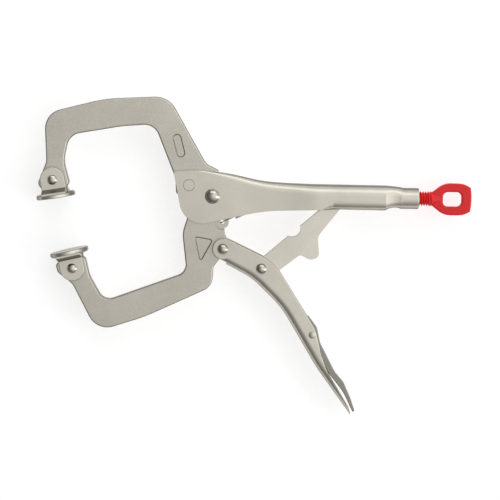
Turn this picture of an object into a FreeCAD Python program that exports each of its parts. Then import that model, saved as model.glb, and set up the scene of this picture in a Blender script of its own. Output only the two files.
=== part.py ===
import FreeCAD, Part
import math
import os

# Locking C-clamp, 11 inch class, lying on its side on a bench.
# Millimetres. The tool's plane is XY and +Z points up from the bench.
# All design coordinates are measured from the axis of the main rivet, in the
# tool's mid-plane. The finished parts are then moved as one, so that the
# origin is under the middle of the whole tool, on the bench.

V = FreeCAD.Vector
AXIS_X = V(1, 0, 0)
AXIS_Z = V(0, 0, 1)

# ---- driving dimensions -------------------------------------------------
SHEET = 2.0                  # pressed sheet of the handle and the lever
JAW_HALF = 3.5               # half the fixed jaw's forged thickness
MOVING_JAW_HALF = 3.4        # the moving jaw is a little thinner, to turn freely
CHEEK_HALF = JAW_HALF + SHEET
LINK_HALF = 2.5
RUNNING_GAP = 0.05           # radial gap of a pin in a hole that turns on it
THROUGH = 20.0               # half length of a cutter that goes right through

MAIN_PIVOT = (0.0, 0.0)
LEVER_PIVOT = (7.2, -33.6)
LINK_PIVOT = (32.0, -45.8)
LINK_NOSE = (82.6, 0.7)
RELEASE_PIVOT = (65.4, -87.8)
JAW_RIVET = (-15.0, 6.7)
UPPER_PAD_PIVOT = (-101.7, 8.4)
LOWER_PAD_PIVOT = (-88.7, -47.9)
SPRING_LUG = (6.5, -16.7)
SPRING_TAB = (46.0, 2.6)

MAIN_SHANK, MAIN_HEAD, MAIN_DOME = 3.0, 4.75, 2.9
LEVER_SHANK, LEVER_HEAD, LEVER_DOME = 2.2, 3.45, 2.2
PAD_SHANK, PAD_HEAD, PAD_DOME = 2.0, 3.2, 1.9
RELEASE_SHANK, RELEASE_HEAD, RELEASE_DOME = 1.5, 2.2, 0.8
JAW_RIVET_RADIUS = 3.7

PAD_RADIUS = 12.7            # to the outer faces of the two ears' lips
PAD_FOOT_RADIUS = 12.4
PAD_THICKNESS = 3.0
PAD_REACH = 11.7             # rivet axis to working face
PAD_EAR_HALF_WIDTH = 7.8
PAD_EAR_INNER = JAW_HALF + 0.25
UPPER_PAD_TILT = 9.7
LOWER_PAD_TILT = 13.3

SCREW_Y = 0.7                # the screw's axis above the main rivet
SCREW_RADIUS = 4.76          # 3/8 inch thread, major radius
SCREW_TIP_X = 92.6
SCREW_START_X = 96.0
SCREW_END_X = 139.4
BORE_RADIUS = 4.82
COLLAR_X, COLLAR_END_X, COLLAR_RADIUS = 120.4, 131.2, 6.75
TUBE_X, TUBE_CURL_X, TUBE_END_X = 70.0, 77.0, 110.0
TUBE_HALF, TUBE_TOP, TUBE_BOTTOM = 7.4, 8.7, -7.2
TUBE_SHOULDER, TUBE_CURL = 6.9, 5.4
SLOT_HALF = 3.5              # the slot that the toggle link works in

KNOB_HALF = 2.5
EDGE_ROUND = 1.0             # worn edge of the forged jaws
SHEET_EDGE = 0.45            # rounded edge of the pressed and stamped pieces

parts = {}


# ---- helpers --------------------------------------------------------------
def outline(corners):
    """Closed wire through corners (x, y, radius), each rounded to its radius."""
    edges = []
    ends = []
    count = len(corners)
    for i in range(count):
        x, y, radius = corners[i]
        corner = V(x, y, 0)
        before = V(corners[i - 1][0], corners[i - 1][1], 0)
        after = V(corners[(i + 1) % count][0], corners[(i + 1) % count][1], 0)
        to_before = (before - corner).normalize()
        to_after = (after - corner).normalize()
        if radius == 0:
            ends.append((corner, corner))
            continue
        half_angle = to_before.getAngle(to_after) / 2
        reach = radius / math.tan(half_angle)
        inward = (to_before + to_after).normalize()
        centre = corner + inward * (radius / math.sin(half_angle))
        start = corner + to_before * reach
        finish = corner + to_after * reach
        middle = centre - inward * radius
        edges.append(Part.Arc(start, middle, finish).toShape())
        ends.append((start, finish))
    for i in range(count):
        start = ends[i - 1][1]
        finish = ends[i][0]
        if (finish - start).Length > 1e-6:
            edges.append(Part.LineSegment(start, finish).toShape())
    return Part.Wire(Part.__sortEdges__(edges))


def plate(corners, half, middle=0.0):
    """Flat plate of the given outline, centred on a height."""
    face = Part.Face(outline(corners))
    face.translate(V(0, 0, middle - half))
    return face.extrude(V(0, 0, 2 * half))


def rim_edges(solid, wanted=None):
    """Edges that lie flat in the solid's two faces, or those of them that are wanted."""
    found = []
    for edge in solid.Edges:
        if edge.BoundBox.ZLength > 1e-6:
            continue
        if wanted is None or wanted(edge.CenterOfMass):
            found.append(edge)
    return found


def soften(solid, radius, wanted=None):
    """The plate with its rims rounded."""
    return solid.makeFillet(radius, rim_edges(solid, wanted))


def sloped(pocket, floor_height):
    """A pocket's cutting plate with its walls sloped down to the pocket's floor."""
    slope = 0.65
    floor_rim = rim_edges(pocket, lambda point: abs(point.z - floor_height) < 0.01)
    return pocket.makeChamfer(slope, floor_rim)


def disc(centre, radius, half, middle=0.0):
    return Part.makeCylinder(radius, 2 * half, V(centre[0], centre[1], middle - half), AXIS_Z)


def along_x(x_start, x_end, radius, radius_end=None):
    """Cylinder or cone on the screw's axis."""
    base = V(x_start, SCREW_Y, 0)
    if radius_end is None:
        return Part.makeCylinder(radius, x_end - x_start, base, AXIS_X)
    return Part.makeCone(radius, radius_end, x_end - x_start, base, AXIS_X)


def box(x_range, y_range, z_range):
    size = (x_range[1] - x_range[0], y_range[1] - y_range[0], z_range[1] - z_range[0])
    return Part.makeBox(*size, V(x_range[0], y_range[0], z_range[0]))


def domed_head(radius, height):
    """Rivet head on the plane z = 0, domed upwards, with a short straight rim."""
    rim = 0.35
    dome = height - rim
    ball = (radius ** 2 + dome ** 2) / (2 * dome)
    half_angle = math.asin(radius / ball) / 2
    middle = V(ball * math.sin(half_angle), 0, height - ball + ball * math.cos(half_angle))
    top = V(0, 0, height)
    side = V(radius, 0, rim)
    edges = [
        Part.Arc(top, middle, side).toShape(),
        Part.LineSegment(side, V(radius, 0, 0)).toShape(),
        Part.LineSegment(V(radius, 0, 0), V(0, 0, 0)).toShape(),
        Part.LineSegment(V(0, 0, 0), top).toShape(),
    ]
    return Part.Face(Part.Wire(edges)).revolve(V(0, 0, 0), AXIS_Z, 360)


def rivet(centre, shank, head, dome, grip_half):
    """Rivet along Z with a domed head at each end."""
    upper = domed_head(head, dome)
    lower = upper.copy()
    lower.rotate(V(0, 0, 0), AXIS_X, 180)
    upper.translate(V(centre[0], centre[1], grip_half))
    lower.translate(V(centre[0], centre[1], -grip_half))
    return disc(centre, shank, grip_half).fuse([upper, lower]).removeSplitter()


def section(x, half, top, bottom, shoulder, curl):
    """Rounded section of the handle at one station along X."""
    corners = [
        (-half, bottom, curl),
        (half, bottom, curl),
        (half, top, shoulder),
        (-half, top, shoulder),
    ]
    wire = outline(corners)
    # the drawing plane's X becomes the tool's Z
    wire.rotate(V(0, 0, 0), V(0, 1, 0), -90)
    wire.translate(V(x, 0, 0))
    return wire


def loft(stations, inset=0.0):
    """Solid through sections (x, half, top, bottom, shoulder, curl), drawn in by an inset."""
    wires = []
    for x, half, top, bottom, shoulder, curl in stations:
        shoulder_in = max(shoulder - inset, 0.5)
        curl_in = max(curl - inset, 0.5)
        wires.append(section(x, half - inset, top - inset, bottom + inset, shoulder_in, curl_in))
    return Part.makeLoft(wires, True, False)


# ---- fixed side -----------------------------------------------------------
def make_fixed_jaw():
    """Forged upper jaw: C-shaped arm with its foot at the left and its tail in the handle."""
    corners = [
        (3.4, 3.0, 0),
        (3.4, 16.4, 1.4),
        (-4.4, 20.2, 7.0),
        (-29.0, 62.6, 14.5),
        (-69.5, 60.2, 90.0),
        (-107.3, 50.2, 12.5),
        (-105.9, 19.6, 12.0),
        (-111.4, 5.4, 3.5),
        (-109.0, 2.4, 1.6),
        (-94.4, 2.4, 1.6),
        (-91.1, 6.4, 3.5),
        (-95.0, 20.5, 20.0),
        (-91.7, 36.9, 10.0),
        (-58.0, 43.0, 60.0),
        (-37.6, 44.8, 9.5),
        (-23.8, 10.8, 3.0),
        (-23.3, 1.5, 2.0),
        (-17.4, -3.0, 1.5),
        (-6.0, 9.4, 0),
    ]
    head_relief = 10.7               # clears the moving jaw's pivot head
    jaw = soften(plate(corners, JAW_HALF), EDGE_ROUND)
    jaw = jaw.cut(disc(MAIN_PIVOT, head_relief, THROUGH))
    jaw = jaw.cut(disc(JAW_RIVET, JAW_RIVET_RADIUS, THROUGH))
    jaw = jaw.cut(disc(UPPER_PAD_PIVOT, PAD_SHANK, THROUGH))
    return jaw.cut(stamp_pocket(JAW_HALF))


def stamp_pocket(face_height):
    """Shallow oval recess on the upper jaw's face, left blank inside."""
    half_length, half_width, depth = 7.6, 2.8, 0.7
    lean = 15.0
    corners = [
        (-half_width, -half_length, half_width),
        (half_width, -half_length, half_width),
        (half_width, half_length, half_width),
        (-half_width, half_length, half_width),
    ]
    pocket = sloped(plate(corners, depth, face_height), face_height - depth)
    pocket.rotate(V(0, 0, 0), AXIS_Z, lean)
    pocket.translate(V(-21.8, 31.5, 0))
    return pocket


def make_upper_handle():
    """Pressed channel that closes to a tube round the screw and ends in a tapped collar."""
    deep = -24.0
    channel = [
        (-28.0, CHEEK_HALF, 16.8, deep, 1.0, 0.6),
        (-9.0, CHEEK_HALF, 16.6, deep, 1.2, 0.6),
        (4.0, CHEEK_HALF, 15.1, deep, 2.2, 0.6),
        (13.0, CHEEK_HALF, 13.8, deep, 3.2, 0.6),
        (27.0, CHEEK_HALF + 0.1, 10.9, deep, 4.2, 0.6),
        (40.0, CHEEK_HALF + 0.5, 9.4, deep, 5.0, 0.6),
        (54.0, CHEEK_HALF + 1.2, 8.9, deep, 5.9, 0.6),
        (64.0, TUBE_HALF - 0.1, 8.7, deep, 6.7, 0.6),
        (TUBE_X, TUBE_HALF, TUBE_TOP, deep, TUBE_SHOULDER, 0.6),
    ]
    side = [
        (-24.9, 15.1, 1.2),
        (-17.6, -20.6, 14.5),
        (33.0, -8.7, 110.0),
        (TUBE_X, TUBE_BOTTOM - 0.1, 0),
        (TUBE_X + 5, TUBE_BOTTOM - 0.1, 0),
        (TUBE_X + 5, 20.0, 0),
        (3.7, 20.0, 0),
        (3.7, 15.2, 0),
        (-11.9, 16.2, 40.0),
    ]
    hollow_inset = SHEET + 0.15
    front = loft(channel).common(plate(side, THROUGH))
    front = front.cut(loft(channel, hollow_inset))
    # the jaws' slot is a little wider than the hollow, and open at the top in front of the back sheet
    jaw_slot = [(-30, -30, 0), (17, -30, 0), (17, 9, 0), (3.7, 9, 0), (3.7, 20, 0), (-30, 20, 0)]
    front = front.cut(plate(jaw_slot, JAW_HALF))

    tube_section = (TUBE_HALF, TUBE_TOP, TUBE_BOTTOM, TUBE_SHOULDER, TUBE_CURL)
    curl_start = (TUBE_X, TUBE_HALF, TUBE_TOP, TUBE_BOTTOM, TUBE_SHOULDER, 0.6)
    curl = loft([curl_start, (TUBE_CURL_X, *tube_section)])
    curl_hollow = ((TUBE_X - 1, TUBE_CURL_X + 1), (TUBE_BOTTOM + SHEET, 5.5), (-4.6, 4.6))
    curl = curl.cut(box(*curl_hollow))
    tube = loft([(TUBE_CURL_X, *tube_section), (TUBE_END_X, *tube_section)])
    tube = tube.cut(loft([(TUBE_CURL_X - 1, *tube_section), (TUBE_END_X - 2, *tube_section)], SHEET))
    slot = box((TUBE_X - 1, TUBE_END_X - 5), (TUBE_BOTTOM - 1, 0), (-SLOT_HALF, SLOT_HALF))
    tube = tube.fuse(curl).cut(slot)

    crimp = loft([
        (TUBE_END_X, *tube_section),
        (115.0, 6.7, 8.3, -5.2, 5.6, 4.2),
        (COLLAR_X, 6.95, 7.7, -6.25, 6.6, 6.6),
    ])
    collar = along_x(COLLAR_X, COLLAR_END_X, COLLAR_RADIUS)
    collar_end = [e for e in collar.Edges if e.CenterOfMass.x > COLLAR_END_X - 0.1]
    collar = collar.makeFillet(0.5, collar_end)
    handle = front.fuse([tube, crimp, collar])
    handle = handle.cut([
        along_x(TUBE_END_X - 6, COLLAR_END_X + 1, BORE_RADIUS),
        disc(MAIN_PIVOT, MAIN_SHANK, THROUGH),
        disc(JAW_RIVET, JAW_RIVET_RADIUS, THROUGH),
    ])
    return handle.fuse(spring_tab())


def spring_tab():
    """Tab pressed down from the handle's back, with the hole for the spring's end."""
    corners = [
        (44.0, 7.6, 0),
        (44.0, 0.6, 1.5),
        (48.0, 0.6, 1.5),
        (48.0, 7.6, 0),
    ]
    tab_half, hole = 0.75, 0.9
    return plate(corners, tab_half).cut(disc(SPRING_TAB, hole, THROUGH))


def make_jaw_rivet():
    """Flush rivet that holds the fixed jaw in the handle."""
    proud, bevel = 0.12, 0.3
    rivet_body = disc(JAW_RIVET, JAW_RIVET_RADIUS, CHEEK_HALF + proud)
    return rivet_body.makeChamfer(bevel, rim_edges(rivet_body))


def make_spring():
    """Opening spring as the plain outer form of its coils, with its two hooks."""
    wire = 0.45
    coil_radius = 2.3
    beside_lug, beside_tab = 2.05, 1.3
    start = V(SPRING_LUG[0], SPRING_LUG[1], 0)
    finish = V(SPRING_TAB[0], SPRING_TAB[1], 0)
    axis = (finish - start).normalize()
    length = (finish - start).Length
    coil_start, coil_end = 8.0, length - 7.0
    coil = Part.makeCylinder(coil_radius, coil_end - coil_start, start + axis * coil_start, axis)
    pieces = []
    hooks = (
        (start, axis, coil_start + 1, beside_lug),
        (finish, axis * -1, length - coil_end + 1, beside_tab),
    )
    for eye, along, hook_length, offset in hooks:
        beside = eye + V(0, 0, offset)
        pieces.append(Part.makeCylinder(wire, hook_length, beside, along))
        pieces.append(Part.makeCylinder(wire, 2 * beside.z, beside, V(0, 0, -1)))
        pieces.append(Part.makeSphere(wire, beside))
    return coil.fuse(pieces)


# ---- moving jaw -------------------------------------------------------------
def make_lower_jaw():
    """Forged lower jaw: C-shaped arm, pivot head, lever boss and the spring's thin lug."""
    corners = [
        (-9.8, 2.0, 0),
        (-14.3, -8.6, 6.0),
        (-18.9, -24.0, 15.0),
        (-15.8, -49.3, 7.5),
        (-68.4, -69.0, 7.3),
        (-77.7, -52.9, 20.0),
        (-80.6, -41.0, 2.5),
        (-83.4, -40.2, 1.6),
        (-97.2, -44.0, 1.8),
        (-99.6, -46.0, 2.4),
        (-98.2, -50.9, 4.0),
        (-88.8, -58.0, 12.0),
        (-72.7, -88.8, 13.0),
        (-42.0, -78.5, 120.0),
        (0.8, -58.2, 10.0),
        (1.3, -45.3, 3.0),
        (6.4, -38.6, 0),
        (11.6, -31.2, 0),
        (8.2, -24.6, 3.0),
        (7.6, -18.0, 0),
        (9.9, -1.0, 0),
        (0.0, 4.0, 0),
    ]
    scoop_radius, lug_radius, lug_half, lug_hole = 4.7, 4.1, 1.5, 1.4
    head_radius, boss_radius = 10.0, 6.2
    pivot_hole = MAIN_SHANK + RUNNING_GAP
    lever_hole = LEVER_SHANK + RUNNING_GAP

    def away_from_pivots(point):
        return point.x < 4 and point.y < -12

    arm = soften(plate(corners, MOVING_JAW_HALF), EDGE_ROUND, away_from_pivots)
    jaw = arm.fuse([
        disc(MAIN_PIVOT, head_radius, MOVING_JAW_HALF),
        disc(LEVER_PIVOT, boss_radius, MOVING_JAW_HALF),
    ])
    jaw = jaw.cut(disc(SPRING_LUG, scoop_radius, THROUGH))
    web = plate(corners, lug_half).common(disc(SPRING_LUG, scoop_radius + 0.3, lug_half))
    jaw = jaw.fuse([web, disc(SPRING_LUG, lug_radius, lug_half)])
    jaw = jaw.cut([
        disc(MAIN_PIVOT, pivot_hole, THROUGH),
        disc(LEVER_PIVOT, lever_hole, THROUGH),
        disc(SPRING_LUG, lug_hole, THROUGH),
        disc(LOWER_PAD_PIVOT, PAD_SHANK, THROUGH),
    ])
    jaw = jaw.cut([coined_triangle(1), coined_triangle(-1)])
    return jaw.removeSplitter()


def coined_triangle(side):
    """Shallow three-cornered relief on one face of the lower jaw."""
    depth = 0.8
    corners = [
        (-11.0, -25.8, 1.2),
        (1.1, -27.8, 1.5),
        (-7.3, -43.4, 1.2),
    ]
    return sloped(plate(corners, depth, side * MOVING_JAW_HALF), side * (MOVING_JAW_HALF - depth))


# ---- lever, link and release lever --------------------------------------------
LEVER_WEB = [
    (26.0, -52.3, 45.0),
    (45.3, -70.8, 70.0),
    (68.5, -109.3, 120.0),
]


def make_lever():
    """Pressed lever: channel with its web on the outside of the grip and two ears at the jaw."""
    bend = 4.8                       # outer radius from the web to the cheeks
    open_side = -6.0                 # the hollow passes the strip where the lever is open
    ear_radius = 6.7
    beyond_tip = [(98.0, -149.2, 0), (112.0, -140.0, 0), (60.0, 20.0, 0)]
    outer_strip = [(-8.0, -34.6, 0)] + LEVER_WEB + beyond_tip
    rounded = soften(plate(outer_strip, CHEEK_HALF), bend, on_web)
    inner_strip = drawn_in(outer_strip, [SHEET] * 4 + [open_side] * 3)
    hollow = soften(plate(inner_strip, JAW_HALF), bend - SHEET, on_web)

    side = [
        (10.1, -27.4, 0),
        (39.9, -41.5, 33.0),
        (67.2, -84.1, 14.0),
        (73.5, -108.7, 80.0),
        (90.3, -135.6, 3.0),
        (91.3, -139.0, 0.4),
        (90.5, -139.6, 0.4),
        (88.0, -136.6, 0),
        (70.0, -120.0, 0),
        (30.0, -70.0, 0),
        (7.6, -46.0, 0),
        (9.3, -42.0, 0),
        (3.9, -39.5, 0),
    ]
    lever = rounded.cut(hollow)
    ears = box((-8, 9.4), (-46, -20), (-JAW_HALF, JAW_HALF))
    lever = lever.cut(ears)
    profile = plate(side, CHEEK_HALF).fuse(disc(LEVER_PIVOT, ear_radius, CHEEK_HALF))
    lever = lever.common(soften(profile.removeSplitter(), SHEET_EDGE))
    ear = soften(disc(LEVER_PIVOT, ear_radius, CHEEK_HALF), SHEET_EDGE)
    lever = lever.fuse(ear.cut(disc(LEVER_PIVOT, THROUGH, JAW_HALF)))
    return lever.cut([
        disc(LEVER_PIVOT, LEVER_SHANK, THROUGH),
        disc(LINK_PIVOT, LEVER_SHANK, THROUGH),
        disc(RELEASE_PIVOT, RELEASE_SHANK, THROUGH),
    ]).removeSplitter()


def on_web(point):
    """True on the lever's outer edge, from the ears to beyond the tip."""
    between_ends = -146 < point.y < -34
    outer_side = point.y < -30 - 0.75 * point.x
    return between_ends and outer_side


def drawn_in(corners, distances):
    """Corners with each side moved inwards by its own distance."""
    count = len(corners)
    lines = []
    for i in range(count):
        start = V(corners[i][0], corners[i][1], 0)
        finish = V(corners[(i + 1) % count][0], corners[(i + 1) % count][1], 0)
        direction = (finish - start).normalize()
        left = V(-direction.y, direction.x, 0)
        lines.append((start + left * distances[i], direction))
    moved = []
    for i in range(count):
        point, direction = lines[i - 1]
        other, other_direction = lines[i]
        cross = direction.x * other_direction.y - direction.y * other_direction.x
        gap = other - point
        travel = (gap.x * other_direction.y - gap.y * other_direction.x) / cross
        corner = point + direction * travel
        radius = corners[i][2]
        moved.append((corner.x, corner.y, max(radius - SHEET, 0)))
    return moved


def make_toggle_link():
    """Flat link with the scoop and the lobe that the release lever works against."""
    corners = [
        (28.9, -42.2, 0),
        (79.0, 1.6, 3.0),
        (85.5, -1.5, 3.0),
        (73.6, -16.8, 12.0),
        (67.7, -24.5, 6.0),
        (68.9, -38.0, 3.6),
        (62.8, -39.9, 5.0),
        (56.6, -36.4, 3.0),
        (43.4, -46.9, 4.0),
        (36.0, -50.4, 0),
    ]
    link = plate(corners, LINK_HALF)
    scoop, scoop_radius = (51.1, -19.9), 5.45
    eye_radius, nose_radius = 6.2, 3.4
    link = link.fuse([
        disc(LINK_PIVOT, eye_radius, LINK_HALF),
        disc(LINK_NOSE, nose_radius, LINK_HALF),
    ])
    link = link.cut([
        disc(scoop, scoop_radius, THROUGH),
        disc(LINK_PIVOT, LEVER_SHANK + RUNNING_GAP, THROUGH),
    ])
    return link.removeSplitter()


def make_link_washers():
    """The two washers that centre the link between the lever's cheeks."""
    side_gap, radius = 0.05, 4.6
    half = (JAW_HALF - LINK_HALF) / 2 - side_gap
    middle = (JAW_HALF + LINK_HALF) / 2
    bore = disc(LINK_PIVOT, LEVER_SHANK + RUNNING_GAP, THROUGH)
    washers = [disc(LINK_PIVOT, radius, half, side * middle).cut(bore) for side in (-1, 1)]
    return Part.makeCompound(washers)


def make_release_lever():
    """Release lever: nose towards the link, pin, and a curved tail beside the lever's tip."""
    side_gap = 0.3
    corners = [
        (58.4, -76.8, 1.5),
        (62.6, -75.6, 2.0),
        (68.6, -83.6, 6.0),
        (70.8, -93.4, 14.0),
        (80.8, -112.4, 20.0),
        (86.4, -118.6, 10.0),
        (91.6, -130.0, 40.0),
        (94.0, -137.0, 0.5),
        (92.7, -137.9, 0.5),
        (86.4, -125.0, 40.0),
        (76.5, -112.6, 30.0),
        (66.0, -93.6, 4.0),
        (61.2, -86.4, 5.0),
    ]
    body = soften(plate(corners, JAW_HALF - side_gap), SHEET_EDGE)
    return body.cut(disc(RELEASE_PIVOT, RELEASE_SHANK + RUNNING_GAP, THROUGH))


# ---- pads -----------------------------------------------------------------------
def make_pad(pivot, tilt, side):
    """Swivel pad: round foot with two joggled ears. side is -1 under its rivet, +1 above it."""
    ear_top = PAD_REACH + PAD_EAR_HALF_WIDTH + 0.2
    foot = Part.makeCylinder(PAD_FOOT_RADIUS, PAD_THICKNESS, V(0, 0, 0), V(0, 1, 0))
    foot = foot.makeChamfer(0.8, [e for e in foot.Edges if e.Closed and e.CenterOfMass.y > 1])
    foot = foot.makeFillet(0.5, [e for e in foot.Edges if e.Closed and e.CenterOfMass.y < 0.1])
    lip_start, lip_end, joggle_end = 2.0, 3.5, 5.8
    profile = [
        V(0, lip_start, PAD_EAR_INNER),
        V(0, lip_start, PAD_RADIUS),
        V(0, lip_end, PAD_RADIUS),
        V(0, joggle_end, PAD_EAR_INNER + SHEET),
        V(0, ear_top, PAD_EAR_INNER + SHEET),
        V(0, ear_top, PAD_EAR_INNER),
    ]
    ear = Part.Face(Part.makePolygon(profile + profile[:1])).extrude(V(2 * PAD_EAR_HALF_WIDTH, 0, 0))
    ear.translate(V(-PAD_EAR_HALF_WIDTH, 0, 0))
    round_top = [
        (-PAD_EAR_HALF_WIDTH, 0.0, 0),
        (PAD_EAR_HALF_WIDTH, 0.0, 0),
        (PAD_EAR_HALF_WIDTH, ear_top, PAD_EAR_HALF_WIDTH - 0.01),
        (-PAD_EAR_HALF_WIDTH, ear_top, PAD_EAR_HALF_WIDTH - 0.01),
    ]
    ear = ear.common(plate(round_top, THROUGH))
    outer_edges = [e for e in ear.Edges if e.BoundBox.ZMin > PAD_EAR_INNER + 1]
    ear = ear.makeFillet(SHEET_EDGE, outer_edges)
    other_ear = ear.mirror(V(0, 0, 0), AXIS_Z)
    pad = foot.fuse([ear, other_ear])
    pad = pad.cut(disc((0, PAD_REACH), PAD_SHANK + RUNNING_GAP, THROUGH)).removeSplitter()
    pad.translate(V(0, -PAD_REACH, 0))
    if side > 0:
        pad.rotate(V(0, 0, 0), AXIS_Z, 180)
    pad.rotate(V(0, 0, 0), AXIS_Z, tilt)
    pad.translate(V(pivot[0], pivot[1], 0))
    return pad


# ---- adjusting screw ----------------------------------------------------------------
def make_screw_tip():
    """Rounded end that the toggle link's nose bears on."""
    turned_down, nose_round = 0.6, 2.4
    tip = along_x(SCREW_TIP_X, SCREW_START_X, SCREW_RADIUS - turned_down)
    nose = [e for e in tip.Edges if e.Closed and e.CenterOfMass.x < SCREW_TIP_X + 0.1]
    return tip.makeFillet(nose_round, nose)


def make_screw_shank():
    """Threaded shank, as its plain major diameter."""
    shank = along_x(SCREW_START_X, SCREW_END_X, SCREW_RADIUS)
    return shank.makeChamfer(0.6, [e for e in shank.Edges if e.Closed])


def make_knob():
    """Flat loop on the screw's end, with a rounded slot through it."""
    corners = [
        (139.4, SCREW_Y + 4.0, 0),
        (147.5, SCREW_Y + 10.3, 13.0),
        (160.0, SCREW_Y + 10.1, 12.0),
        (164.3, SCREW_Y + 7.6, 1.2),
        (165.4, SCREW_Y, 45.0),
        (164.3, SCREW_Y - 7.6, 1.2),
        (160.0, SCREW_Y - 10.1, 12.0),
        (147.5, SCREW_Y - 10.3, 13.0),
        (139.4, SCREW_Y - 4.0, 0),
    ]
    slot = [
        (146.7, SCREW_Y - 4.6, 3.2),
        (158.6, SCREW_Y - 4.6, 3.2),
        (158.6, SCREW_Y + 4.6, 3.2),
        (146.7, SCREW_Y + 4.6, 3.2),
    ]
    edge_round = 1.1
    hole = plate(slot, THROUGH)
    loop = soften(plate(corners, KNOB_HALF).cut(hole), edge_round)
    neck = along_x(SCREW_END_X, 147.0, 4.4, 2.0).cut(hole)
    return loop.fuse(neck)


# ---- assembly ------------------------------------------------------------------------
def build():
    parts["fixed_jaw"] = make_fixed_jaw()
    parts["upper_handle"] = make_upper_handle()
    parts["fixed_jaw_rivet"] = make_jaw_rivet()
    parts["main_rivet"] = rivet(MAIN_PIVOT, MAIN_SHANK, MAIN_HEAD, MAIN_DOME, CHEEK_HALF)
    parts["opening_spring"] = make_spring()
    parts["lower_jaw"] = make_lower_jaw()
    parts["lever"] = make_lever()
    parts["lever_jaw_rivet"] = rivet(LEVER_PIVOT, LEVER_SHANK, LEVER_HEAD, LEVER_DOME, CHEEK_HALF)
    parts["lever_link_rivet"] = rivet(LINK_PIVOT, LEVER_SHANK, LEVER_HEAD, LEVER_DOME, CHEEK_HALF)
    parts["toggle_link"] = make_toggle_link()
    parts["link_washers"] = make_link_washers()
    parts["release_lever"] = make_release_lever()
    parts["release_pin"] = rivet(RELEASE_PIVOT, RELEASE_SHANK, RELEASE_HEAD, RELEASE_DOME, CHEEK_HALF)
    pad_grip = PAD_EAR_INNER + SHEET + RUNNING_GAP
    parts["upper_pad"] = make_pad(UPPER_PAD_PIVOT, UPPER_PAD_TILT, -1)
    parts["upper_pad_rivet"] = rivet(UPPER_PAD_PIVOT, PAD_SHANK, PAD_HEAD, PAD_DOME, pad_grip)
    parts["lower_pad"] = make_pad(LOWER_PAD_PIVOT, LOWER_PAD_TILT, 1)
    parts["lower_pad_rivet"] = rivet(LOWER_PAD_PIVOT, PAD_SHANK, PAD_HEAD, PAD_DOME, pad_grip)
    parts["screw_tip"] = make_screw_tip()
    parts["screw_shank"] = make_screw_shank()
    parts["screw_knob"] = make_knob()


def place_on_bench():
    """Moves every part so that the origin is under the middle of the tool."""
    whole = Part.makeCompound(list(parts.values())).optimalBoundingBox(False, False)
    move = V(-(whole.XMin + whole.XMax) / 2, -(whole.YMin + whole.YMax) / 2, PAD_RADIUS)
    for shape in parts.values():
        shape.translate(move)
    print("moved by", move, "size", whole.XLength, whole.YLength, whole.ZLength)


build()
place_on_bench()
os.makedirs("parts", exist_ok=True)
for name, shape in parts.items():
    print(name, shape.isValid(), len(shape.Solids), round(shape.Volume, 1))
    shape.exportStep("parts/" + name + ".step")
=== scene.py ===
import math

import bmesh
import bpy
from mathutils import Matrix, Vector


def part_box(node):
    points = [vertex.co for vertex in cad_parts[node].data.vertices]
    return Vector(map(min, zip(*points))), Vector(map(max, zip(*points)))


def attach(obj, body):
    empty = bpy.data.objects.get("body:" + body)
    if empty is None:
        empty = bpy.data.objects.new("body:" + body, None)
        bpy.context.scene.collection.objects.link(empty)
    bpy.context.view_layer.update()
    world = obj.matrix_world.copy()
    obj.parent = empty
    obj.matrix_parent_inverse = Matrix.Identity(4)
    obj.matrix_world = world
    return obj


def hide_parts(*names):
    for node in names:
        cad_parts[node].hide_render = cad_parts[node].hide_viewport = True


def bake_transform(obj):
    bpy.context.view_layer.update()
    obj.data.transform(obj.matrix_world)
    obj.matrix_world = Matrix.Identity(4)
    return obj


# Locking C-clamp lying on its side. Metres, +Z up from the floor.
# Places on the tool are given in millimetres from the axis of the main rivet,
# in the tool's mid-plane, and at() turns them into the frame's own places.

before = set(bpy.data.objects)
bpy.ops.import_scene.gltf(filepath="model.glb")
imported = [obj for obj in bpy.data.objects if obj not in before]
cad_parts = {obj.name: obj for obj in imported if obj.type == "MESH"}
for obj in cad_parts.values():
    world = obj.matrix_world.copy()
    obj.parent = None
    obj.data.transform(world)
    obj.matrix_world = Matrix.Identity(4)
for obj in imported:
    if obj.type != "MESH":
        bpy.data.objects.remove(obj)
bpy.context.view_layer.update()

MM = 0.001


def middle(node):
    low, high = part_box(node)
    return (low + high) / 2


PIVOT = middle("main_rivet")


def at(x, y, z=0.0):
    return PIVOT + Vector((x, y, z)) * MM


# ---- sizes ------------------------------------------------------------------
SCREW_Y = 0.7                       # height of the screw's axis above the main rivet
SHANK_START, SHANK_END = 96.0, 139.4
THREAD_MAJOR, THREAD_MINOR = 4.72, 3.6
THREAD_PITCH = 25.4 / 16
SPRING_LUG = (6.5, -16.7)
SPRING_TAB = (46.0, 2.6)
SPRING_WIRE, SPRING_COIL_RADIUS = 0.42, 1.85
SPRING_TURNS = 24

CAMERA_DISTANCE = 1.0
CAMERA_TILT = math.radians(6.0)
CAMERA_ROLL = math.radians(1.15)
CAMERA_AIM = (24.5, -34.4)
SENSOR = 36.0
LENS = 112.5


# ---- materials --------------------------------------------------------------
NICKEL_HUE = (1.0, 0.945, 0.825)    # slightly warm, at full brightness
NOISE_MIDDLE = (0.35, 0.65)         # the part of a noise's range that is used


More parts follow.
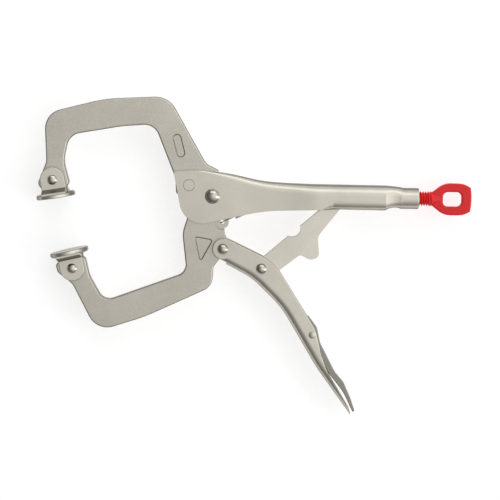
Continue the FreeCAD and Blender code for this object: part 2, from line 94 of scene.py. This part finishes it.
class Nodes:
    """Short names for building one material's node tree."""

    def __init__(self, name):
        self.material = bpy.data.materials.new(name)
        self.material.use_nodes = True
        self.tree = self.material.node_tree
        self.shader = self.tree.nodes["Principled BSDF"]
        self.place = self.add("ShaderNodeTexCoord").outputs["Object"]

    def add(self, kind, **settings):
        node = self.tree.nodes.new(kind)
        for key, value in settings.items():
            setattr(node, key, value)
        return node

    def link(self, source, target):
        self.tree.links.new(source, target)

    def scaled(self, factors):
        """The object's own coordinates, stretched by a factor along each axis."""
        mapping = self.add("ShaderNodeMapping")
        mapping.inputs["Scale"].default_value = factors
        self.link(self.place, mapping.inputs["Vector"])
        return mapping.outputs["Vector"]

    def noise(self, scale, detail=3.0, roughness=0.5, stretch=(1, 1, 1)):
        node = self.add("ShaderNodeTexNoise")
        node.inputs["Scale"].default_value = scale
        node.inputs["Detail"].default_value = detail
        node.inputs["Roughness"].default_value = roughness
        self.link(self.scaled(stretch), node.inputs["Vector"])
        return node.outputs["Fac"]

    def range(self, source, low, high, from_low=0.3, from_high=0.7):
        node = self.add("ShaderNodeMapRange")
        node.inputs["From Min"].default_value = from_low
        node.inputs["From Max"].default_value = from_high
        node.inputs["To Min"].default_value = low
        node.inputs["To Max"].default_value = high
        self.link(source, node.inputs["Value"])
        return node.outputs["Result"]

    def blend(self, factor, first, second):
        node = self.add("ShaderNodeMix", data_type="RGBA")
        self.link(factor, node.inputs["Factor"])
        node.inputs["A"].default_value = (*first, 1)
        node.inputs["B"].default_value = (*second, 1)
        return node.outputs["Result"]

    def shade(self, colour, level):
        """A colour made darker or lighter by a level."""
        node = self.add("ShaderNodeVectorMath", operation="SCALE")
        self.link(colour, node.inputs[0])
        self.link(level, node.inputs["Scale"])
        return node.outputs["Vector"]

    def upwards(self):
        """How far the surface faces up or down, from 0 on a flank to 1 on a flat."""
        split = self.add("ShaderNodeSeparateXYZ")
        self.link(self.add("ShaderNodeTexCoord").outputs["Normal"], split.inputs["Vector"])
        size = self.add("ShaderNodeMath", operation="ABSOLUTE")
        self.link(split.outputs["Z"], size.inputs[0])
        return size.outputs["Value"]

    def painted_rim_shade(self, wall, rounding, flat):
        """Painted shade: a level that is low on rounded rims, middling on side walls and 1 on the
        flats.
        """
        node = self.add("ShaderNodeValToRGB")
        stops = [(0.0, wall), (0.25, rounding), (0.5, rounding), (flat, 1.0)]
        elements = node.color_ramp.elements
        while len(elements) < len(stops):
            elements.new(0.5)
        for element, (steepness, level) in zip(elements, stops):
            element.position = steepness
            element.color = (level, level, level, 1)
        self.link(self.upwards(), node.inputs["Fac"])
        return node.outputs["Color"]

    def bump(self, layers, edge=0.0):
        """Chains height layers (source, strength, depth in millimetres) into the normal."""
        normal = None
        if edge > 0:
            bevel = self.add("ShaderNodeBevel", samples=6)
            bevel.inputs["Radius"].default_value = edge * MM
            normal = bevel.outputs["Normal"]
        for source, strength, depth in layers:
            node = self.add("ShaderNodeBump")
            node.inputs["Strength"].default_value = strength
            node.inputs["Distance"].default_value = depth * MM
            self.link(source, node.inputs["Height"])
            if normal is not None:
                self.link(normal, node.inputs["Normal"])
            normal = node.outputs["Normal"]
        self.link(normal, self.shader.inputs["Normal"])


def plated_steel(name, tone, roughness, grain, painted_rim_shade=(1.0, 1.0, 0.9), edge=0.0):
    """Nickel-plated steel: slow tone changes, a fine satin grain, specks, and painted shade on rims
    and side walls.

    roughness is the pair that the fine grain varies between.
    The painted shade takes three values: the level of a side wall, the level of a rounded edge, and
    how far a flat faces up.
    edge is the radius, in millimetres, that sharp edges seem to be broken with.
    """
    steel = Nodes(name)
    steel.shader.inputs["Metallic"].default_value = 1.0
    warm = Vector(NICKEL_HUE) * tone
    patches = steel.noise(26.0, 4.0, 0.6)
    fine = steel.noise(1500.0, 4.0, 0.7)
    specks = steel.noise(3600.0, 2.0, 0.6)
    patch_share = steel.range(patches, 0.0, 1.0, *NOISE_MIDDLE)
    broad = steel.blend(patch_share, warm * 0.93, warm * 1.05)
    grain_level = steel.range(fine, 1.0 - grain, 1.0 + grain * 0.5, *NOISE_MIDDLE)
    grained = steel.shade(broad, grain_level)
    # Painted shade: side walls and rounded rims are darkened by how far they face up.
    colour = steel.shade(grained, steel.painted_rim_shade(*painted_rim_shade))
    steel.link(colour, steel.shader.inputs["Base Color"])
    steel.link(steel.range(fine, *roughness), steel.shader.inputs["Roughness"])
    steel.bump([(fine, 0.5, grain * 0.3), (specks, 0.35, grain * 0.15)], edge)
    return steel.material


def red_powder_coat():
    coat = Nodes("red_powder_coat")
    coat.shader.inputs["Coat Weight"].default_value = 0.10
    coat.shader.inputs["Coat Roughness"].default_value = 0.35
    coat.shader.inputs["Specular IOR Level"].default_value = 0.3
    drift = coat.noise(40.0, 2.0)
    tone = coat.blend(coat.range(drift, 0.0, 1.0), (0.84, 0.020, 0.024), (0.92, 0.030, 0.034))
    coat.link(tone, coat.shader.inputs["Base Color"])
    peel = coat.noise(1500.0, 2.0)
    coat.link(coat.range(peel, 0.38, 0.5), coat.shader.inputs["Roughness"])
    coat.bump([(peel, 0.4, 0.06)])
    return coat.material


def floor_paper():
    paper = Nodes("floor_paper")
    fibre = paper.noise(300.0, 3.0)
    tone = paper.blend(paper.range(fibre, 0.0, 1.0), (0.53, 0.53, 0.53), (0.57, 0.57, 0.57))
    paper.link(tone, paper.shader.inputs["Base Color"])
    paper.shader.inputs["Roughness"].default_value = 0.9
    paper.shader.inputs["Specular IOR Level"].default_value = 0.1
    paper.shader.inputs["Emission Color"].default_value = (1, 1, 1, 1)
    paper.shader.inputs["Emission Strength"].default_value = 0.66
    return paper.material


# Painted shade: in each call below, the triple of levels for side walls, rounded rims and flats
# darkens the flanks and edges.
FORGED = plated_steel("forged_nickel", 0.73, (0.36, 0.46), grain=0.14, painted_rim_shade=(0.50, 0.14, 0.95))
PRESSED = plated_steel(
    "pressed_nickel", 0.76, (0.34, 0.42), grain=0.05, painted_rim_shade=(0.55, 0.30, 0.70), edge=0.25
)
LEVER = plated_steel("lever_nickel", 0.75, (0.32, 0.42), grain=0.06, painted_rim_shade=(0.70, 0.50, 0.75), edge=0.25)
# Painted shade: the release lever is the same nickel-plated steel, made darker to stand for the shade
# it sits in beside the lever.
RELEASE_PAINTED_SHADE = plated_steel("release_nickel_painted_shade", 0.34, (0.16, 0.26), grain=0.05, painted_rim_shade=(0.40, 0.20, 0.85))
LINK = plated_steel("link_nickel", 0.84, (0.34, 0.44), grain=0.07, painted_rim_shade=(0.40, 0.15, 0.90), edge=0.25)
PAD = plated_steel("pad_nickel", 0.80, (0.30, 0.40), grain=0.05, painted_rim_shade=(0.50, 0.22, 0.97), edge=0.2)
POLISHED = plated_steel("polished_rivet", 0.60, (0.14, 0.22), grain=0.02)
FLUSH = plated_steel("flush_rivet", 0.76, (0.32, 0.42), grain=0.06)
SPRING = plated_steel("spring_wire", 0.60, (0.22, 0.32), grain=0.04)
SCREW = plated_steel("screw_steel", 0.50, (0.22, 0.32), grain=0.05)
RED = red_powder_coat()

FINISHES = {
    "fixed_jaw": FORGED,
    "lower_jaw": FORGED,
    "upper_handle": PRESSED,
    "lever": LEVER,
    "release_lever": RELEASE_PAINTED_SHADE,
    "toggle_link": LINK,
    "link_washers": LINK,
    "upper_pad": PAD,
    "lower_pad": PAD,
    "fixed_jaw_rivet": FLUSH,
    "main_rivet": POLISHED,
    "lever_jaw_rivet": POLISHED,
    "lever_link_rivet": POLISHED,
    "upper_pad_rivet": POLISHED,
    "lower_pad_rivet": POLISHED,
    "release_pin": POLISHED,
    "screw_tip": SCREW,
    "screw_knob": RED,
}


def finish_cad_nodes():
    for node, material in FINISHES.items():
        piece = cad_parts[node]
        piece.data.materials.clear()
        piece.data.materials.append(material)


# ---- pieces that replace plain CAD nodes --------------------------------------
def mesh_piece(name, rows, material):
    """A tube-like mesh through rings of points, its two ends closed."""
    mesh = bmesh.new()
    rings = [[mesh.verts.new(point) for point in row] for row in rows]
    count = len(rings[0])
    for ring, following in zip(rings, rings[1:]):
        for i in range(count):
            j = (i + 1) % count
            mesh.faces.new((ring[i], ring[j], following[j], following[i]))
    mesh.faces.new(reversed(rings[0]))
    mesh.faces.new(rings[-1])
    bmesh.ops.recalc_face_normals(mesh, faces=mesh.faces)
    data = bpy.data.meshes.new(name)
    mesh.to_mesh(data)
    mesh.free()
    for face in data.polygons:
        face.use_smooth = True
    data.materials.append(material)
    piece = bpy.data.objects.new(name, data)
    bpy.context.scene.collection.objects.link(piece)
    return piece


def thread_radius(turn_share):
    """Radius of the thread's profile at a share of one turn: crest, flank, root, flank."""
    crest_share, flank_share = 0.12, 0.72
    rise = abs(2 * (turn_share % 1.0) - 1)
    flank = min(max((rise - crest_share) / flank_share, 0.0), 1.0)
    return THREAD_MAJOR + (THREAD_MINOR - THREAD_MAJOR) * flank


def make_threaded_screw():
    """The adjusting screw: a helical thread, run out into the plain neck of the knob."""
    sides = 48
    per_pitch = 12
    lead_in, runout = 1.2, 2.5
    tip_share = 0.86                # the first ring's radius, for the bevelled start
    count = int((SHANK_END - SHANK_START) / (THREAD_PITCH / per_pitch))
    rows = []
    for k in range(count + 1):
        x = SHANK_START + (SHANK_END - SHANK_START) * k / count
        fade_start = min((x - SHANK_START) / lead_in, 1.0)
        fade_end = min((SHANK_END - x) / runout, 1.0)
        ring = []
        for i in range(sides):
            angle = 2 * math.pi * i / sides
            share = x / THREAD_PITCH - i / sides
            depth = (THREAD_MAJOR - thread_radius(share)) * max(fade_end, 0.0)
            radius = (THREAD_MAJOR - depth) * (tip_share + (1 - tip_share) * fade_start)
            ring.append(at(x, SCREW_Y + radius * math.cos(angle), radius * math.sin(angle)))
        rows.append(ring)
    screw = mesh_piece("threaded_screw", rows, RED)
    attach(screw, "screw")
    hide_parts("screw_shank")
    return screw


def tube_along(path, radius, sides):
    """Rings of a round wire that follows a path of points."""
    rows = []
    up = Vector((0, 0, 1))
    for k, point in enumerate(path):
        ahead = (path[min(k + 1, len(path) - 1)] - path[max(k - 1, 0)]).normalized()
        across = up.cross(ahead)
        if across.length < 1e-6:
            across = Vector((1, 0, 0))
        across.normalize()
        up = ahead.cross(across).normalized()
        rows.append([
            point + (across * math.cos(t) + up * math.sin(t)) * radius
            for t in (2 * math.pi * i / sides for i in range(sides))
        ])
    return rows


def hook_points(eye, outwards, upwards):
    """The bend of a hook round an eye, flattened along the spring."""
    count, flattened = 9, 0.6
    angles = [math.pi * (-0.15 + 0.9 * k / (count - 1)) for k in range(count)]
    return [eye + outwards * math.sin(t) * flattened + upwards * math.cos(t) for t in angles]


def make_opening_spring():
    """Extension spring of close coils, with a hook through the lug and one through the tab."""
    start, finish = at(*SPRING_LUG), at(*SPRING_TAB)
    along = (finish - start).normalized()
    length = (finish - start).length
    side = Vector((0, 0, 1)).cross(along).normalized()
    lift = Vector((0, 0, 1))
    coil_start, coil_end = 9.0 * MM, length - 8.0 * MM
    coil = SPRING_COIL_RADIUS * MM
    hook = 1.75 * MM
    per_turn = 20
    path = hook_points(start, along * -hook, lift * hook * 1.15)
    path.reverse()
    path.append(start + along * 4 * MM + lift * hook)
    path.append(start + along * 7 * MM + lift * coil * 0.9)
    steps = SPRING_TURNS * per_turn
    for k in range(steps + 1):
        angle = math.pi / 2 + 2 * math.pi * k / per_turn
        place = start + along * (coil_start + (coil_end - coil_start) * k / steps)
        path.append(place + side * (coil * math.cos(angle)) + lift * (coil * math.sin(angle)))
    path.append(finish - along * 5.5 * MM + lift * coil * 0.9)
    path.append(finish - along * 3.5 * MM + lift * hook * 0.85)
    path += hook_points(finish, along * hook, lift * hook * 0.8)
    spring = mesh_piece("coil_spring", tube_along(path, SPRING_WIRE * MM, sides=10), SPRING)
    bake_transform(spring)
    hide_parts("opening_spring")
    return spring


# ---- stage --------------------------------------------------------------------
def make_floor():
    size = 2.0
    data = bpy.data.meshes.new("floor")
    data.from_pydata(
        [(-size, -size, 0), (size, -size, 0), (size, size, 0), (-size, size, 0)], [], [(0, 1, 2, 3)]
    )
    data.materials.append(floor_paper())
    floor = bpy.data.objects.new("floor", data)
    bpy.context.scene.collection.objects.link(floor)


def make_light(name, place, target, size, power):
    data = bpy.data.lights.new(name, "AREA")
    data.shape = "RECTANGLE"
    data.size, data.size_y = size
    data.energy = power
    light = bpy.data.objects.new(name, data)
    light.location = place
    light.rotation_euler = (Vector(target) - Vector(place)).to_track_quat("-Z", "Y").to_euler()
    bpy.context.scene.collection.objects.link(light)


def make_world():
    """Soft sky of a light tent: bright overhead and darker towards the jaws' side."""
    world = bpy.data.worlds.new("studio")
    world.use_nodes = True
    tree = world.node_tree
    direction = tree.nodes.new("ShaderNodeTexCoord").outputs["Generated"]
    brightness = tree.nodes.new("ShaderNodeVectorMath")
    brightness.operation = "DOT_PRODUCT"
    brightness.inputs[1].default_value = (0.50, 0.10, 0.70)
    ramp = tree.nodes.new("ShaderNodeValToRGB")
    tree.links.new(direction, brightness.inputs[0])
    tree.links.new(brightness.outputs["Value"], ramp.inputs["Fac"])
    brightest = 1.5
    stops = [(0.0, 0.14), (0.25, 0.20), (0.5, 0.43), (0.7, 0.80), (0.85, 1.2), (1.0, brightest)]
    elements = ramp.color_ramp.elements
    while len(elements) < len(stops):
        elements.new(0.5)
    for element, (position, level) in zip(elements, stops):
        element.position = position
        element.color = (*[level / brightest] * 3, 1)
    tree.nodes["Background"].inputs["Strength"].default_value = brightest
    tree.links.new(ramp.outputs["Color"], tree.nodes["Background"].inputs["Color"])
    bpy.context.scene.world = world


def make_lights():
    centre = (0, 0, 0)
    make_light("top_softbox", (0.1, 1.2, 0.75), centre, (1.6, 0.8), 4.0)
    make_light("right_softbox", (1.25, -0.25, 0.5), centre, (0.45, 0.9), 3.0)
    make_world()
    bpy.context.scene.view_settings.view_transform = "Standard"


def make_camera():
    """Looks down on the tool from almost straight above, a little from the jaws' upper side."""
    towards = Vector((0, math.sin(CAMERA_TILT), math.cos(CAMERA_TILT)))
    right = Vector((1, 0, 0))
    up = towards.cross(right)
    roll = Matrix.Rotation(CAMERA_ROLL, 3, "Z")
    towards, right, up = roll @ towards, roll @ right, roll @ up
    data = bpy.data.cameras.new("camera")
    data.sensor_width = SENSOR
    data.lens = LENS
    camera = bpy.data.objects.new("camera", data)
    turn = Matrix((right, up, towards)).transposed().to_4x4()
    camera.matrix_world = Matrix.Translation(at(*CAMERA_AIM) + towards * CAMERA_DISTANCE) @ turn
    bpy.context.scene.collection.objects.link(camera)
    bpy.context.scene.camera = camera


finish_cad_nodes()
make_threaded_screw()
make_opening_spring()
make_floor()
make_lights()
make_camera()
